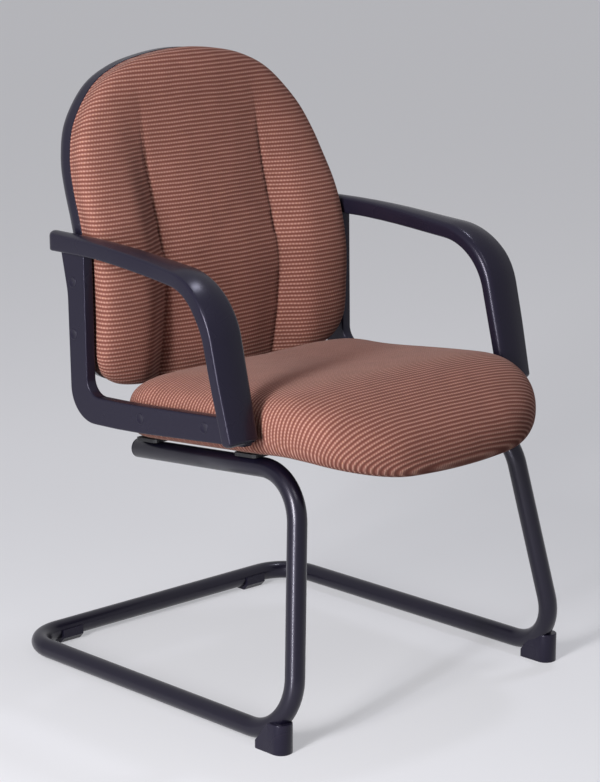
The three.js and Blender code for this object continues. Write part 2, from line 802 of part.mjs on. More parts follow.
// Where each arm bolt crosses the arm, in the chair's own frame
const armBackBoltHeights = armBackBoltShares.map((share) => {
  return THREE.MathUtils.lerp(backBottom, armrestHeight, share);
});
const armBoltPlaces = [
  ...armSeatPlaces.map(([row, y]) => [`seat_${row}`, fromSeat(0, y, armSeatBoltHeight)]),
  ...armBackBoltHeights.map((z, i) => [`back_${["lower", "upper"][i]}`, vector(0, armBackBoltBehind, z)]),
];
const boltSeat = armOuter - capThickness - gap - boltHeadHeight;

function acrossArm(side, at, radius, from, to, count = boltSides) {
  return rod(radius, vector(side * from, at.y, at.z), vector(side * to, at.y, at.z), count);
}

function arm(side) {
  const tools = armBoltPlaces.flatMap(([, at]) => [
    acrossArm(side, at, holeRadius, armInner - overrun, armOuter),
    acrossArm(side, at, capDiameter / 2 + gap, boltSeat - gap, armOuter + overrun, 2 * boltSides),
  ]);
  return cut(join(loop(side), armrest(side)), ...tools);
}

// Back: every surface shares one outline, a dome over a broad lower third, and one leaning profile.
const backHalfShares = [
  [0, -0.018],
  [0.3, -0.016],
  [0.52, -0.012],
  [0.71, -0.005],
  [0.85, 0.01],
  [0.943, 0.041],
  [0.99, 0.085],
  [1, 0.138],
  [0.998, 0.215],
  [1.002, 0.41],
  [0.999, 0.51],
  [0.98, 0.608],
  [0.938, 0.708],
  [0.851, 0.806],
  [0.67, 0.908],
  [0.469, 0.962],
  [0.245, 0.989],
  [0, 1],
];
const leanShares = [0.086, 0, 0, 0.2, 0.565, 0.85, 1];
const creaseShares = [0.3, 0.36, 0.43, 0.38, 0.69, 0.95, 1]; // padding in the creases
const panelShares = [0.45, 0.5, 0.56, 0.53, 0.8, 1, 1.04]; // padding between them
const lipShare = 0.985; // the padding's edge on the rim, of its full outline
const middleShare = 0.44; // the height that the outline shrinks towards

const backHalf = backHalfShares.map(([x, z]) => vector(x * backHalfWidth, 0, backBottom + z * backHeight));
const backOther = backHalf.slice(1, -1).reverse().map((point) => vector(-point.x, 0, point.z));
const backCurve = new THREE.CatmullRomCurve3([...backHalf, ...backOther], true, "centripetal");
const backOutline = backCurve.getSpacedPoints(backSegments).slice(0, backSegments);
const backMiddle = backBottom + backHeight * middleShare;
const rise = (z) => (z - backBottom) / backHeight;
const rimAt = (z) => backLumbar + backLean * along(leanShares, rise(z));

// One ring of the back: the outline shrunk by a share and then by a margin, set behind the rim line.
function backRing(share, margin, setback) {
  return backOutline.map((point) => {
    const reach = vector(point.x, 0, point.z - backMiddle);
    const scaled = reach.multiplyScalar(share * (1 - margin / reach.length()));
    const z = backMiddle + scaled.z;
    return vector(scaled.x, rimAt(z) + setback(scaled.x, z), z);
  });
}

const backPole = (setback) => [vector(0, rimAt(backMiddle) + setback, backMiddle)];
const even = (setback) => () => setback;

// How far the padding's face stands ahead of the rim: creases between a flat panel and two bolsters
function paddingRise(x, z) {
  const fromCrease = (Math.abs(x) - creaseOffset) / creaseWidth;
  const valley = 1 - Math.exp(-(fromCrease ** 2));
  const crease = along(creaseShares, rise(z));
  const field = fromCrease > 0 ? 1 : along(panelShares, rise(z));
  return backThickness * THREE.MathUtils.lerp(crease, field, valley);
}

// Each row has its share of the outline and of the padding's rise.
const paddingShares = [
  [lipShare, 0],
  [0.995, 0.3],
  [1, 0.54],
  [0.99, 0.71],
  [0.96, 0.85],
  [0.915, 0.94],
  [0.85, 0.985],
  [0.77, 1],
  [0.67, 1],
  [0.56, 1],
  [0.44, 1],
  [0.3, 1],
  [0.15, 1],
];

const boardShares = [1, 0.8, 0.5];

function backPadding() {
  const behind = boardShares.map((share) => backRing(lipShare * share, backBoardInset / 2, even(2 * gap)));
  const face = paddingShares.map(([share, height]) => backRing(share, 0, (x, z) => -paddingRise(x, z) * height));
  const rings = [backPole(2 * gap), ...behind.reverse(), ...face, backPole(-paddingRise(0, backMiddle))];
  return cut(skin(rings), backBoard(0, boardRear, backBoardInset - gap));
}

function backBoard(front, rear, inset = backBoardInset) {
  const rings = (setback) => boardShares.map((share) => backRing(lipShare * share, inset, even(setback)));
  return skin([backPole(front), ...rings(front).reverse(), ...rings(rear), backPole(rear)]);
}

// The shell from its lip, over its rim, to the middle of the dome. Each row has its share of the
// outline, its draft as a share of the wall and its share of the depth.
const shellShares = [
  [1, 0, 0],
  [1, 0.2, 0.28],
  [1, 1, 0.52],
  [0.95, 1, 0.68],
  [0.87, 1, 0.81],
  [0.7, 1, 0.92],
  [0.42, 1, 0.985],
];

function shellRings(wall) {
  const rings = shellShares.map(([share, draft, depth]) => {
    const margin = wall + draft * shellWall - shellLip;
    return backRing(lipShare * share, margin, even(gap + (shellDome - wall) * depth));
  });
  return [...rings, backPole(gap + shellDome - wall)];
}

// The shell's outer or inner surface, filled, and carried forward past the rim
function shellFilled(wall) {
  const ahead = backRing(lipShare, wall - shellLip, even(-backThickness));
  return skin([backPole(-backThickness), ahead, ...shellRings(wall)]);
}

const boardRear = gap + backBoardThickness;
const boardRoom = backBoard(-backThickness, boardRear + gap, backBoardInset - gap);
const shellScrewPlaces = shellScrewHeights.flatMap((z, i) =>
  sides.map(([name, side]) => [`${["lower", "upper"][i]}_${name}`, side * shellScrewAcross, z]),
);
const shellScrewSeat = (z) => rimAt(z) + boardRear + shellScrewLength - shellScrewBite;
const alongBack = (x, z, radius, from, to) => rod(radius, vector(x, from, z), vector(x, to, z));

function backShell() {
  const wall = skin([...shellRings(shellWall).reverse(), ...shellRings(0)]);
  const filled = solidOf(shellFilled(shellWall / 2));
  const bosses = shellScrewPlaces.map(([, x, z]) => {
    const boss = alongBack(x, z, shellBossDiameter / 2, rimAt(z) - overrun, rimAt(z) + shellDome + overrun);
    return geometryOf(solidOf(boss).intersect(filled).subtract(solidOf(boardRoom)));
  });
  const holes = shellScrewPlaces.flatMap(([, x, z]) => [
    alongBack(x, z, shellScrewDiameter / 2 + boltClearance, rimAt(z), shellScrewSeat(z) + gap),
    alongBack(x, z, shellScrewHead / 2 + boltClearance, shellScrewSeat(z) - gap, rimAt(z) + shellDome + overrun),
  ]);
  const boltHoles = armBoltPlaces.slice(2).flatMap(([, at]) =>
    sides.map(([, side]) => acrossArm(side, at, holeRadius, blockInner, armInner)),
  );
  return cut(join(wall, ...bosses), ...holes, ...boltHoles);
}

// Blocks inside the back: an upright bar against the shell's rim, with a flange behind the board
const blockInner = backHalfWidth * lipShare - backBoardInset + gap;
const blockBottom = armBackBoltHeights[0] - blockOverhang;
const blockTop = armBackBoltHeights[1] + blockOverhang;

function blockLayer(side, from, to, front, rear) {
  const step = (blockTop - blockBottom) / blockSteps;
  const steps = Array.from({ length: blockSteps + 1 }, (_, k) => blockBottom + k * step);
  const outline = steps.map((z) => vector(rimAt(z) + front, z));
  outline.push(...steps.toReversed().map((z) => vector(rimAt(z) + rear, z)));
  return solidOf(sidePrism(outline, ...(side < 0 ? [-to, -from] : [from, to])));
}

function backBlock(side) {
  const upright = blockLayer(side, blockInner, armInner, blockFront, blockDepth);
  const flange = blockLayer(side, blockInner - blockFlange, blockInner + overrun, boardRear, blockDepth);
  const room = solidOf(shellFilled(shellWall + gap)).subtract(solidOf(boardRoom));
  const block = geometryOf(upright.add(flange).intersect(room));
  const tip = blockInner + blockWidth - blockBite;
  return cut(block, ...armBoltPlaces.slice(2).map(([, at]) => acrossArm(side, at, boltRadius + gap, tip, armInner)));
}

// Spacers round the arm bolts: sleeves through the seat's padding, thick washers at the back's rim
function spacer(side, at, from) {
  const whole = solidOf(acrossArm(side, at, sleeveDiameter / 2, from, armInner - gap));
  const bore = solidOf(acrossArm(side, at, boltRadius + gap, from - overrun, armInner + overrun));
  return whole.subtract(bore);
}

for (const [name, side] of sides) {
  piece(body, `arm_${name}`, arm(side), blackPlastic);
  piece(seat, `seat_side_rail_${name}`, drilledRail(side), plywood);
  piece(body, `back_block_${name}`, backBlock(side), plywood);
  armBoltPlaces.forEach(([place, at], i) => {
    const inSeat = i < 2;
    const tip = inSeat ? armSeatBoltTip : blockInner + blockWidth - blockBite + gap;
    const bolt = piece(body, `arm_bolt_${place}_${name}`, hexBolt(boltSeat - tip), zincSteel);
    bolt.position.set(side * boltSeat, at.y, at.z);
    bolt.rotation.z = (side * Math.PI) / 2;
    const cap = acrossArm(side, at, capDiameter / 2, armOuter - capThickness, armOuter, 2 * boltSides);
    piece(body, `bolt_cap_${place}_${name}`, cap, blackPlastic);
    const sleeve = spacer(side, at, inSeat ? railOuter + gap : blockInner);
    const fitted = inSeat ? sleeve : sleeve.subtract(solidOf(shellFilled(-gap)));
    piece(body, `spacer_${place}_${name}`, geometryOf(fitted), zincSteel);
  });
}
const pilots = shellScrewPlaces.map(([, x, z]) => {
  const tip = shellScrewSeat(z) - shellScrewLength - gap;
  return alongBack(x, z, shellScrewDiameter / 2 + gap, tip, shellScrewSeat(z));
});
piece(body, "back_cushion", backPadding(), fabric);
piece(body, "back_board", cut(backBoard(gap, boardRear), ...pilots), plywood);
piece(body, "back_shell", backShell(), blackPlastic);
shellScrewPlaces.forEach(([place, x, z]) => {
  const geometry = screw(shellScrewHead / 2, shellScrewHeadHeight, shellScrewDiameter / 2, shellScrewLength);
  const shellScrew = piece(body, `shell_screw_${place}`, geometry, zincSteel);
  shellScrew.position.set(x, shellScrewSeat(z), z);
  shellScrew.rotation.z = Math.PI;
});

const chair = new THREE.Group();
chair.add(body);
body.updateMatrixWorld(true);
const extent = new THREE.Box3().setFromObject(body);
body.position.y = -(extent.min.y + extent.max.y) / 2;
export default chair;
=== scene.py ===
import json
import math

import bpy
import numpy as np
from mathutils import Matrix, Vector


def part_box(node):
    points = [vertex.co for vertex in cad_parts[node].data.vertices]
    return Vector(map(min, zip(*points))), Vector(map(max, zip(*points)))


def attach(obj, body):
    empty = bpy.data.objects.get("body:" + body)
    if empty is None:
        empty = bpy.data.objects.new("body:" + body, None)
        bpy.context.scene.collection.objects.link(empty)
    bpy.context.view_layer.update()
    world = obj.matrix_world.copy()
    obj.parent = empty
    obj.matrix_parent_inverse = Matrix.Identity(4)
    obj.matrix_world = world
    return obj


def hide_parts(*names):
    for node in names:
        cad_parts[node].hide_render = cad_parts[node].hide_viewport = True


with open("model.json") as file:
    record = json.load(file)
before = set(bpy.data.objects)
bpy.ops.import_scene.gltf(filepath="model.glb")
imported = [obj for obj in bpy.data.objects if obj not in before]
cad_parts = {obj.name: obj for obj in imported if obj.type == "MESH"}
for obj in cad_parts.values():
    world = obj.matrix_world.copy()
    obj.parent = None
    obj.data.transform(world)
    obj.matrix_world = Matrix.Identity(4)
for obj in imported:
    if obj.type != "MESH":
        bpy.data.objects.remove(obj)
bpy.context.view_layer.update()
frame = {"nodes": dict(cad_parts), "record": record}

# Camera, floor and light
# The chair stands on a plain pale floor in soft studio light, seen from the front right corner a
# little above the armrests. Lengths of the chair are in millimetres, from the middle of its sled.
MM = 0.001
tube_radius = 14.0
sled_half = 298.0
sled_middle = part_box("sled_frame")[1].y / MM - sled_half - tube_radius


def to_metres(points):
    """Millimetres from the middle of the sled, to metres in the frame of the CAD."""
    return (np.asarray(points, float) + [0.0, sled_middle, 0.0]) * MM


camera_place = (-2512.6, -2669.0, 1299.7)
camera_aim = (-5.6, -29.1, 419.0)
camera_sight = Vector(np.subtract(camera_aim, camera_place))
focal_pixels = 2565.0
picture_height = 782
camera = bpy.data.objects.new("camera", bpy.data.cameras.new("camera"))
bpy.context.scene.collection.objects.link(camera)
camera.data.sensor_width = 36.0
camera.data.lens = focal_pixels * camera.data.sensor_width / picture_height
camera.data.clip_end = 100.0
camera.location = to_metres(camera_place)
camera.rotation_euler = camera_sight.to_track_quat("-Z", "Y").to_euler()
bpy.context.scene.camera = camera
bpy.context.scene.view_settings.view_transform = "Standard"


def area_light(name, place, aim, size, power, colour=(1.0, 1.0, 1.0)):
    """A rectangular lamp at a place in metres, turned towards its aim."""
    light = bpy.data.lights.new(name, "AREA")
    light.shape = "RECTANGLE"
    light.size, light.size_y = size
    light.energy = power
    light.color = colour
    lamp = bpy.data.objects.new(name, light)
    lamp.location = place
    lamp.rotation_euler = (Vector(aim) - Vector(place)).to_track_quat("-Z", "Y").to_euler()
    bpy.context.scene.collection.objects.link(lamp)


area_light("left_softbox", place=(-3.1, -0.85, 1.7), aim=(0.0, 0.0, 0.55), size=(0.9, 1.6),
           power=95.0, colour=(1.0, 0.98, 0.96))
area_light("left_strip", place=(-2.5, -0.75, 0.9), aim=(0.0, 0.0, 0.4), size=(0.1, 1.8),
           power=48.0, colour=(0.94, 0.95, 1.0))
area_light("overhead_softbox", place=(-0.5, -2.0, 3.0), aim=(0.0, 0.0, 0.5), size=(1.2, 0.9), power=10.5)
area_light("top_lamp", place=(0.9, 0.1, 3.3), aim=(-0.1, 0.0, 0.6), size=(0.28, 0.28),
           power=13.0, colour=(0.88, 0.9, 1.0))


class Value:
    """A socket in a finish's node tree: sums and products of values add its Math nodes."""

    def __init__(self, finish, socket):
        self.finish = finish
        self.socket = socket

    def math(self, operation, *values):
        return self.finish.node("Math", {"operation": operation}, values)

    def __add__(self, other):
        return self.math("ADD", self, other)

    def __radd__(self, other):
        return self.math("ADD", other, self)

    def __sub__(self, other):
        return self.math("SUBTRACT", self, other)

    def __rsub__(self, other):
        return self.math("SUBTRACT", other, self)

    def __mul__(self, other):
        return self.math("MULTIPLY", self, other)

    def __rmul__(self, other):
        return self.math("MULTIPLY", other, self)

    def __abs__(self):
        return self.math("ABSOLUTE", self)

    def floor(self):
        return self.math("FLOOR", self)

    def wave(self):
        """A cosine that runs from one to zero and back over each unit of the value."""
        return self.math("COSINE", self * (2 * math.pi)) * 0.5 + 0.5

    def clamp(self):
        return self.finish.node("Clamp", {}, [self])


def linear(red, green, blue):
    """An 8 bit screen colour as a linear one, with full alpha."""
    brightest, gamma = 255.0, 2.2
    return tuple((level / brightest) ** gamma for level in (red, green, blue)) + (1.0,)


class Shading:
    """A node tree with the shader that its values feed."""

    colour_inputs = (6, 7)
    colour_output = 2

    def __init__(self, tree, shader):
        self.tree = tree
        self.shader = tree.nodes[shader]

    def node(self, kind, settings, values, output=0):
        """Adds a node: settings are its properties, values its sockets by place or by name."""
        made = self.tree.nodes.new("ShaderNode" + kind)
        for key, value in settings.items():
            setattr(made, key, value)
        for key, value in values.items() if isinstance(values, dict) else enumerate(values):
            if isinstance(value, Value):
                self.tree.links.new(value.socket, made.inputs[key])
            else:
                made.inputs[key].default_value = value
        return Value(self, made.outputs[output])

    def feed(self, socket, value):
        """Links a value to one of the shader's sockets."""
        self.tree.links.new(value.socket, self.shader.inputs[socket])

    def seen(self):
        """One where the ray comes from the camera, or by way of a gloss or a glass."""
        kinds = ("Camera", "Glossy", "Transmission")
        return sum(self.node("LightPath", {}, [], f"Is {kind} Ray") for kind in kinds).clamp()

    def mix(self, share, first, second):
        """Mixes two colours by a share, through the Mix node's colour sockets."""
        first_input, second_input = self.colour_inputs
        values = {0: share, first_input: first, second_input: second}
        return self.node("Mix", {"data_type": "RGBA"}, values, self.colour_output)

    def noise(self, place, scale, detail=2.0, roughness=0.5):
        """A cloudy value between zero and one over a place."""
        values = {"Vector": place, "Scale": scale, "Detail": detail, "Roughness": roughness}
        return self.node("TexNoise", {}, values)

    def place(self):
        """Object coordinates, which are the frame's own metres."""
        return self.node("TexCoord", {}, [], "Object")

    def bump(self, height, strength, distance):
        """A normal that leans with the slope of a height, of which one unit is the distance."""
        return self.node("Bump", {}, {"Strength": strength, "Distance": distance, "Height": height})


class Finish(Shading):
    """A Principled material, whose constants are set on its shader's sockets by keyword."""

    def __init__(self, name, **constants):
        self.material = bpy.data.materials.new(name)
        self.material.use_nodes = True
        super().__init__(self.material.node_tree, "Principled BSDF")
        for key, value in constants.items():
            self.shader.inputs[key.replace("_", " ")].default_value = value


room_light = (0.15, 0.153, 0.165, 1.0)
room_wall = linear(184, 184, 188)
world = bpy.data.worlds.new("studio")
world.use_nodes = True
bpy.context.scene.world = world
sky = Shading(world.node_tree, "Background")
sky.feed("Color", sky.mix(sky.seen(), room_light, room_wall))

floor_bounce = linear(84, 84, 86)
floor_colour = linear(176, 176, 179)
floor_no_glow = linear(0, 0, 0)
floor_glow = linear(158, 158, 161)
pale_floor = Finish("pale_floor", Roughness=0.8, Emission_Strength=1.0)
floor_seen = pale_floor.seen()
pale_floor.feed("Base Color", pale_floor.mix(floor_seen, floor_bounce, floor_colour))
pale_floor.feed("Emission Color", pale_floor.mix(floor_seen, floor_no_glow, floor_glow))

floor_reach = 12.0
floor_signs = ((-1, -1), (1, -1), (1, 1), (-1, 1))
floor_corners = [(x * floor_reach, y * floor_reach, 0.0) for x, y in floor_signs]
floor_mesh = bpy.data.meshes.new("floor")
floor_mesh.from_pydata(floor_corners, [], [(0, 1, 2, 3)])
floor_mesh.materials.append(pale_floor.material)
floor = bpy.data.objects.new("floor", floor_mesh)
bpy.context.scene.collection.objects.link(floor)


# Sled frame
# One steel tube, 28 mm across, drawn through bending dies and coated glossy black. It runs from one
# seat tube's open end down the front leg, round the floor, and up to the other seat tube.
def grid_faces(rows, columns):
    """Quads between neighbouring rows of a grid whose columns wrap round."""
    row, column = np.meshgrid(np.arange(rows - 1), np.arange(columns), indexing="ij")
    here = row * columns + column
    beside = row * columns + (column + 1) % columns
    return np.stack([here, beside, beside + columns, here + columns], -1).reshape(-1, 4)


def signed_volume(vertices, triangles):
    """Six times the space inside a skin: the sum of a . (b x c), above zero if its faces point out."""
    a, b, c = (vertices[triangles[:, corner]] for corner in range(3))
    return np.einsum("ij,ij->", a, np.cross(b, c))


def add_piece(name, vertices, faces, smooth, finish, node):
    """A mesh in millimetres as a piece in its finish, which stands for a node of the CAD."""
    mesh = bpy.data.meshes.new(name)
    mesh.from_pydata(to_metres(vertices).tolist(), [], faces)
    mesh.update()
    mesh.polygons.foreach_set("use_smooth", smooth)
    mesh.materials.append(finish.material)
    piece = bpy.data.objects.new(name, mesh)
    bpy.context.scene.collection.objects.link(piece)
    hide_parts(node)
    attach(piece, "root")
    return piece


def add_skin(name, points, finish, node):
    """A closed skin over a grid of points, rows by columns, whose columns wrap round.

    Each end row is filled with a fan of triangles to its mean.
    """
    rows, columns = points.shape[:2]
    column = np.arange(columns)
    beside = (column + 1) % columns
    last_row = (rows - 1) * columns
    means = rows * columns
    quads = grid_faces(rows, columns)
    first_fan = np.stack([np.full(columns, means), beside, column], -1)
    last_fan = np.stack([np.full(columns, means + 1), last_row + column, last_row + beside], -1)
    vertices = np.concatenate([points.reshape(-1, 3), points[[0, -1]].mean(1)])
    triangles = np.concatenate([quads[:, :3], quads[:, [0, 2, 3]], first_fan, last_fan])
    faces = quads.tolist() + first_fan.tolist() + last_fan.tolist()
    if signed_volume(vertices, triangles) < 0:
        faces = [face[::-1] for face in faces]
    return add_piece(name, vertices, faces, [True] * len(faces), finish, node)


def rounded(corners, radii, step=0.09):
    """A polyline whose inner corners are arcs of the given radii, one point every step of turn."""
    corners = np.asarray(corners, float)
    path = [corners[:1]]
    for before, corner, after, radius in zip(corners, corners[1:], corners[2:], radii):
        u = (before - corner) / np.linalg.norm(before - corner)
        v = (after - corner) / np.linalg.norm(after - corner)
        turn = math.pi - math.acos(np.clip(u @ v, -1, 1))
        start = corner + u * radius * math.tan(turn / 2)
        middle_line = (u + v) / np.linalg.norm(u + v)
        centre = corner + middle_line * radius / math.cos(turn / 2)
        angle = np.linspace(0, turn, max(2, int(turn / step) + 2))[:, None]
        path.append(centre + (start - centre) * np.cos(angle) - u * radius * np.sin(angle))
    path.append(corners[-1:])
    return np.concatenate(path)


def frames_along(path, normal):
    """Normal and side at each point of a path, the normal carried along without twist."""
    ahead = np.gradient(path, axis=0)
    ahead /= np.linalg.norm(ahead, axis=1)[:, None]
    normals = np.empty_like(path)
    for i, direction in enumerate(ahead):
        normal = normal - direction * (normal @ direction)
        normal /= np.linalg.norm(normal)
        normals[i] = normal
    return normals, np.cross(ahead, normals)


def tube(path, radius, sides):
    """A round section carried along a path: p + r (n cos a + s sin a)."""
    normals, across = frames_along(path, np.array([0.0, 0.0, 1.0]))
    a = np.linspace(0, 2 * math.pi, sides, endpoint=False)[None, :, None]
    return path[:, None] + radius * (normals[:, None] * np.cos(a) + across[:, None] * np.sin(a))


seat_tilt = math.radians(5.0)
seat_plane = 370.0


def from_seat(points):
    """From the seat's own frame, which is turned back about X by its tilt and lifted to its plane."""
    p = np.asarray(points, float)
    y = p[..., 1] * math.cos(seat_tilt) + p[..., 2] * math.sin(seat_tilt)
    z = -p[..., 1] * math.sin(seat_tilt) + p[..., 2] * math.cos(seat_tilt)
    return np.stack([p[..., 0], y, z + seat_plane], -1)


rail_half = 272.0
seat_tube_half = 211.0
seat_tube_front = 241.0
seat_tube_rear = 93.0
front_centre = 21.0
rear_centre = 19.0
bend_radius = 75.0
rear_radius = 62.0
tube_sides = 40


def half_route(side):
    """The corners of one side's route, from the seat tube's open end to the rear bar."""
    seat_x, rail_x = side * seat_tube_half, side * rail_half
    seat_ends = [[seat_x, seat_tube_rear, -tube_radius], [seat_x, -seat_tube_front, -tube_radius]]
    rail_ends = [[rail_x, -sled_half, front_centre], [rail_x, sled_half, rear_centre]]
    return np.concatenate([from_seat(seat_ends), rail_ends])


tube_route = np.concatenate([half_route(-1), half_route(1)[::-1]])
tube_radii = [bend_radius, bend_radius, rear_radius, rear_radius, bend_radius, bend_radius]
tube_line = rounded(tube_route, tube_radii)

cool_gloss = (0.86, 0.82, 1.0, 1.0)
coat_roughness = 0.3
coat_wear_depth = 0.06
black_coat = Finish("black_coat", Base_Color=linear(20, 18, 30), Coat_Weight=0.25, Coat_Roughness=0.14,
                    Specular_IOR_Level=0.4, Specular_Tint=cool_gloss)
coat_wear = black_coat.noise(black_coat.place(), scale=34.0, detail=3.0)
black_coat.feed("Roughness", coat_roughness + coat_wear * coat_wear_depth)
add_skin("sled_tube", tube(tube_line, tube_radius, tube_sides), black_coat, "sled_frame")


# Front feet
# Injection-moulded blocks pushed up round the lower front bends and held by a screw from below. The
# nose is rounded in plan, and the top falls away to the heel.
plastic_roughness = 0.22
plastic_wear_depth = 0.1
black_plastic = Finish("black_plastic", Base_Color=linear(33, 31, 43), Specular_IOR_Level=0.32,
                       Specular_Tint=cool_gloss)
plastic_grain = black_plastic.noise(black_plastic.place(), scale=1500.0, roughness=0.6)
plastic_wear = black_plastic.noise(black_plastic.place(), scale=9.0, detail=3.0)
black_plastic.feed("Roughness", plastic_roughness + plastic_wear * plastic_wear_depth)
black_plastic.feed("Normal", black_plastic.bump(plastic_grain, strength=0.12, distance=0.0003))

both_sides = (("right", -1), ("left", 1))
foot_width = 31.5
foot_length = 53.0
foot_height = 43.0
foot_heel = 11.0
foot_nose_radius = 15.0
foot_heel_radius = 2.5
foot_edge = 1.4
foot_edge_rows = 6
foot_setback = 10.0
foot_front = foot_setback - sled_half
foot_columns = 96
foot_sole = [(1.0, 0.0), (0.3, 0.0), (0.0, 0.7)]
foot_top_shares = (0.75, 0.5, 0.25, 0.05)


def rounded_loop(corners, radii, step=0.2):
    """A closed outline whose corners are arcs."""
    corners = np.asarray(corners, float)
    turned = np.concatenate([corners[-1:], corners, corners[:1]])
    return rounded(turned, radii, step)[1:-1]


def even_loop(outline, count):
    """The same closed outline with evenly spaced points."""
    ring = np.concatenate([outline, outline[:1]])
    length = np.concatenate([[0], np.cumsum(np.linalg.norm(np.diff(ring, axis=0), axis=1))])
    at = np.linspace(0, length[-1], count, endpoint=False)
    return np.stack([np.interp(at, length, ring[:, i]) for i in range(ring.shape[1])], -1)


def foot_skin(side):
    """Rows climb from the sole up the wall, round the top edge and close over the sloping top.

    A row is the plan drawn in towards its middle. The top's height is the heel's plus the slope times
    the way from the rear wall, up to the foot's full height.
    """
    half, rear = foot_width / 2, foot_front + foot_length
    corners = [[-half, foot_front], [half, foot_front], [half, rear], [-half, rear]]
    radii = [foot_nose_radius, foot_nose_radius, foot_heel_radius, foot_heel_radius]
    plan = even_loop(rounded_loop(corners, radii), foot_columns)
    centre = np.array([0.0, foot_front + foot_length / 2])
    reach = np.linalg.norm(plan - centre, axis=1)[:, None]
    slope = (foot_height - foot_heel) / (foot_length / 2)

    def ring(inset):
        return centre + (plan - centre) * (1 - inset / reach)

    def top(places):
        return np.clip(foot_heel + (rear - places[:, 1]) * slope, foot_heel, foot_height)

    rows = [np.column_stack([ring(inset), np.full(foot_columns, height)]) for inset, height in foot_sole]
    for turn in np.linspace(0, math.pi / 2, foot_edge_rows):
        inset, drop = foot_edge * (1 - math.cos(turn)), foot_edge * (1 - math.sin(turn))
        rows.append(np.column_stack([ring(inset), top(plan) - drop]))
    for share in foot_top_shares:
        places = centre + (ring(foot_edge) - centre) * share
        rows.append(np.column_stack([places, top(places)]))
    return np.array(rows) + [side * rail_half, 0.0, 0.0]


for name, side in both_sides:
    add_skin(f"foot_{name}", foot_skin(side), black_plastic, f"front_foot_{name}")


# Arms
# Each arm is one moulding of stiff nylon: a flat loop, 17 mm thick, of rear post and bottom bar, with
# a broad armrest swept over it and down in front. Bolts run through it into the seat and the back.
arm_inner = 249.0
arm_outer = 266.0
armrest_route = [[226.0, 652.5], [75.0, 654.0], [-153.0, 634.5], [-206.0, 420.0]]
armrest_radii = [1800.0, 108.0]
armrest_turn_step = 0.02
armrest_depths = [[0, 25.0], [0.2, 21.5], [0.45, 21.0], [0.62, 20.0], [0.75, 18.5], [1.0, 18.0]]
armrest_outsides = [
    [0, 269.0], [0.12, 275.0], [0.3, 284.0], [0.45, 289.5],
    [0.58, 298.0], [0.68, 305.0], [0.85, 304.5], [1.0, 301.0],
]
armrest_insides = [[0, 247.0], [0.2, 247.0], [0.45, 246.5], [0.6, 246.0], [0.75, 245.5], [1.0, 246.5]]
armrest_tip = 15.0
armrest_foot = 7.0
armrest_end_rows = 14
armrest_end_gap = 1e-3
armrest_rows = 118
armrest_corner_steps = 9
armrest_face_steps = 14
armrest_crown = 4.0
outer_edge = 3.0
inner_edge = 8.0
under_edge = 4.0
tip_thinning = 0.7
foot_thinning = 0.9


def smooth_table(table, at):
    """Reads a table of places and values with eased steps between its entries.

    The straight reading is averaged under a bell, and mirrored about each end's value beyond it.
    """
    steps, reach = 400, 20
    places, values = np.array(table).T
    fine = np.linspace(0, 1, steps)
    read = np.interp(fine, places, values)
    bell = np.hanning(2 * reach + 1)
    before = 2 * read[0] - read[reach:0:-1]
    after = 2 * read[-1] - read[-2:-reach - 2:-1]
    eased = np.convolve(np.concatenate([before, read, after]), bell / bell.sum(), "valid")
    return np.interp(at, fine, eased)


def drawn_in(share, power=2):
    """How far a round end is drawn in at a share of the way from its tip: 1 - (1 - (1 - s)^p)^0.5."""
    return 1 - np.sqrt(1 - (1 - share) ** power)


def armrest_section(width, depth):
    """The outline of the armrest's section at each row: a box with rounded corners and a crowned top.

    Across it u runs from the outer to the inner edge, and v runs down from the top face. Its corners
    are quarter circles, and its top rises by the crown times the sine of u's share of the width.
    """

    def corner(at_inside, below, radius, quarter):
        turn = quarter * math.pi / 2 + np.linspace(math.pi / 2, 0, armrest_corner_steps)
        centre_u = width - radius if at_inside else np.full_like(width, radius)
        centre_v = radius - depth if below else np.full_like(depth, -radius)
        centre = np.stack([centre_u, centre_v], -1)
        return centre[:, None] + radius * np.stack([np.cos(turn), np.sin(turn)], -1)

    outer_top = corner(False, False, outer_edge, 1)
    inner_top = corner(True, False, inner_edge, 0)
    inner_low = corner(True, True, under_edge, 3)
    outer_low = corner(False, True, outer_edge, 2)
    across = np.linspace(0, 1, armrest_face_steps + 2)[None, 1:-1, None]
    top = outer_top[:, -1:] * (1 - across) + inner_top[:, :1] * across
    bottom = inner_low[:, -1:] * (1 - across) + outer_low[:, :1] * across
    outline = np.concatenate([outer_top, top, inner_top, inner_low, bottom, outer_low], 1)
    u, v = np.moveaxis(outline, -1, 0)
    u_share = np.clip(u / width[:, None], 0, 1)
    return u, v + armrest_crown * (1 + v / depth[:, None]) * np.sin(math.pi * u_share)


